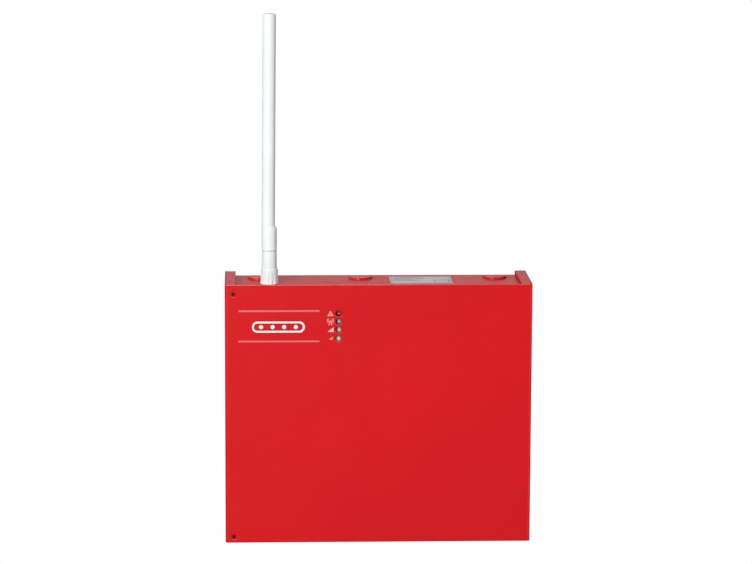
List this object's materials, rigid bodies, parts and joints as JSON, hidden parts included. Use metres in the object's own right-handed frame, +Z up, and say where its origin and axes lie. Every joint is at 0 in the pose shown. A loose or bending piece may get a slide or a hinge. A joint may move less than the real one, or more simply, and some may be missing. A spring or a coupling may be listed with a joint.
{
  "type": "wall-mounted fire alarm control panel",
  "caption": "Flat red sheet-steel wall cabinet with a side-hinged front cover, a column of indicator lamps, raised roof knockouts and an upright white whip antenna.",
  "frame": {"origin": "centre of the rear face, which lies against the wall", "axes": "+X to the right as one faces the cabinet, -Y out of the wall through the cover, +Z up along the antenna"},
  "size_m": [0.285, 0.0809, 0.495],
  "materials": {
    "backbox": "fine-texture powder coat",
    "hinge_pins": "plain",
    "lip_clinch_nuts": "zinc plated",
    "rating_label": "satin foil",
    "cover": "fine-texture powder coat",
    "cover_screw_top": "zinc plated",
    "cover_screw_bottom": "zinc plated",
    "antenna_jack": "plain",
    "jack_washer": "plain",
    "jack_nut": "plain",
    "antenna_coupling_nut": "moulded satin",
    "antenna_lower_sleeve": "moulded satin",
    "antenna_upper_sleeve": "moulded satin",
    "antenna_whip": "moulded satin",
    "antenna_radiator_rod": "plain",
    "led_trouble": "clear moulded",
    "led_radio": "clear moulded",
    "led_signal_high": "clear moulded",
    "led_signal_low": "clear moulded",
    "indicator_board": "solder mask",
    "indicator_posts": "nickel plated",
    "indicator_screws": "plain",
    "main_board": "solder mask",
    "board_standoffs": "nickel plated",
    "board_screws": "plain",
    "radio_module": "solder mask",
    "radio_shield_can": "tin plated",
    "coax_receptacle": "gold plated",
    "sim_holder": "moulded",
    "sim_card": "plain",
    "sim_lid": "plain",
    "power_terminals": "moulded",
    "zone_terminals": "moulded",
    "terminal_screws": "plain",
    "alarm_relays": "moulded",
    "filter_capacitors": "sleeved",
    "power_inductor": "ferrite",
    "processor_chip": "moulded",
    "interface_chips": "moulded",
    "fuse_clips": "tin plated",
    "glass_fuse": "clear",
    "service_button_base": "moulded",
    "service_button_cap": "moulded",
    "ribbon_headers": "moulded",
    "indicator_ribbon": "plain",
    "antenna_coax": "plain",
    "battery_lead_black": "plain",
    "battery_lead_red": "plain",
    "ground_wire": "plain",
    "tamper_wires": "plain",
    "battery_case": "moulded",
    "battery_lid": "moulded",
    "battery_tabs": "tin plated",
    "battery_strap": "powder coat",
    "weld_studs": "copper flashed",
    "stud_nuts": "zinc plated",
    "tamper_bracket": "zinc plated",
    "tamper_switch": "moulded",
    "tamper_plunger": "moulded"
  },
  "bodies": {
    "cabinet": {"backbox": "backbox", "hinge_pins": "hinge_pins", "lip_clinch_nuts": "lip_clinch_nuts", "rating_label": "rating_label", "antenna_jack": "antenna_jack", "jack_washer": "jack_washer", "jack_nut": "jack_nut", "antenna_lower_sleeve": "antenna_lower_sleeve", "led_trouble": "led_trouble", "led_radio": "led_radio", "led_signal_high": "led_signal_high", "led_signal_low": "led_signal_low", "indicator_board": "indicator_board", "indicator_posts": "indicator_posts", "indicator_screws": "indicator_screws", "main_board": "main_board", "board_standoffs": "board_standoffs", "board_screws": "board_screws", "radio_module": "radio_module", "radio_shield_can": "radio_shield_can", "coax_receptacle": "coax_receptacle", "sim_holder": "sim_holder", "sim_card": "sim_card", "power_terminals": "power_terminals", "zone_terminals": "zone_terminals", "terminal_screws": "terminal_screws", "alarm_relays": "alarm_relays", "filter_capacitors": "filter_capacitors", "power_inductor": "power_inductor", "processor_chip": "processor_chip", "interface_chips": "interface_chips", "fuse_clips": "fuse_clips", "glass_fuse": "glass_fuse", "service_button_base": "service_button_base", "ribbon_headers": "ribbon_headers", "indicator_ribbon": "indicator_ribbon", "antenna_coax": "antenna_coax", "battery_lead_black": "battery_lead_black", "battery_lead_red": "battery_lead_red", "ground_wire": "ground_wire", "tamper_wires": "tamper_wires", "battery_case": "battery_case", "battery_lid": "battery_lid", "battery_tabs": "battery_tabs", "battery_strap": "battery_strap", "weld_studs": "weld_studs", "stud_nuts": "stud_nuts", "tamper_bracket": "tamper_bracket", "tamper_switch": "tamper_switch"},
    "cover": {"cover": "cover"},
    "screw_top": {"cover_screw_top": "cover_screw_top"},
    "screw_bottom": {"cover_screw_bottom": "cover_screw_bottom"},
    "coupling_nut": {"antenna_coupling_nut": "antenna_coupling_nut"},
    "antenna": {"antenna_upper_sleeve": "antenna_upper_sleeve", "antenna_whip": "antenna_whip", "antenna_radiator_rod": "antenna_radiator_rod"},
    "plunger": {"tamper_plunger": "tamper_plunger"},
    "card_lid": {"sim_lid": "sim_lid"},
    "button": {"service_button_cap": "service_button_cap"}
  },
  "joints": [
    {"name": "cover_swing", "type": "hinge", "parent": "cabinet", "child": "cover", "pos_m": [0.138, -0.064, 0], "axis": [0, 0, 1], "range_deg": [0, 105]},
    {"name": "cover_screw_top_turn", "type": "hinge", "parent": "cover", "child": "screw_top", "pos_m": [-0.1346, -0.08, 0.1132], "axis": [0, -1, 0], "range_deg": [0, 360]},
    {"name": "cover_screw_bottom_turn", "type": "hinge", "parent": "cover", "child": "screw_bottom", "pos_m": [-0.1346, -0.08, -0.1165], "axis": [0, -1, 0], "range_deg": [0, 360]},
    {"name": "antenna_nut_spin", "type": "hinge", "parent": "cabinet", "child": "coupling_nut", "pos_m": [-0.101, -0.052, 0.1183], "axis": [0, 0, 1], "continuous": true},
    {"name": "antenna_swivel", "type": "hinge", "parent": "cabinet", "child": "antenna", "pos_m": [-0.101, -0.052, 0.15], "axis": [0, 0, 1], "range_deg": [-175, 175]},
    {"name": "tamper_plunge", "type": "slide", "parent": "cabinet", "child": "plunger", "axis": [0, -1, 0], "range_m": [0, 0.004]},
    {"name": "sim_lid_open", "type": "hinge", "parent": "cabinet", "child": "card_lid", "pos_m": [-0.0962, -0.0129, 0.0295], "axis": [0, 0, -1], "range_deg": [0, 110]},
    {"name": "service_button_press", "type": "slide", "parent": "cabinet", "child": "button", "axis": [0, 1, 0], "range_m": [0, 0.0003]}
  ],
  "couplings": [
    {"joint": "tamper_plunge", "follows": "cover_swing", "m_per_rad": 0.0021}
  ]
}
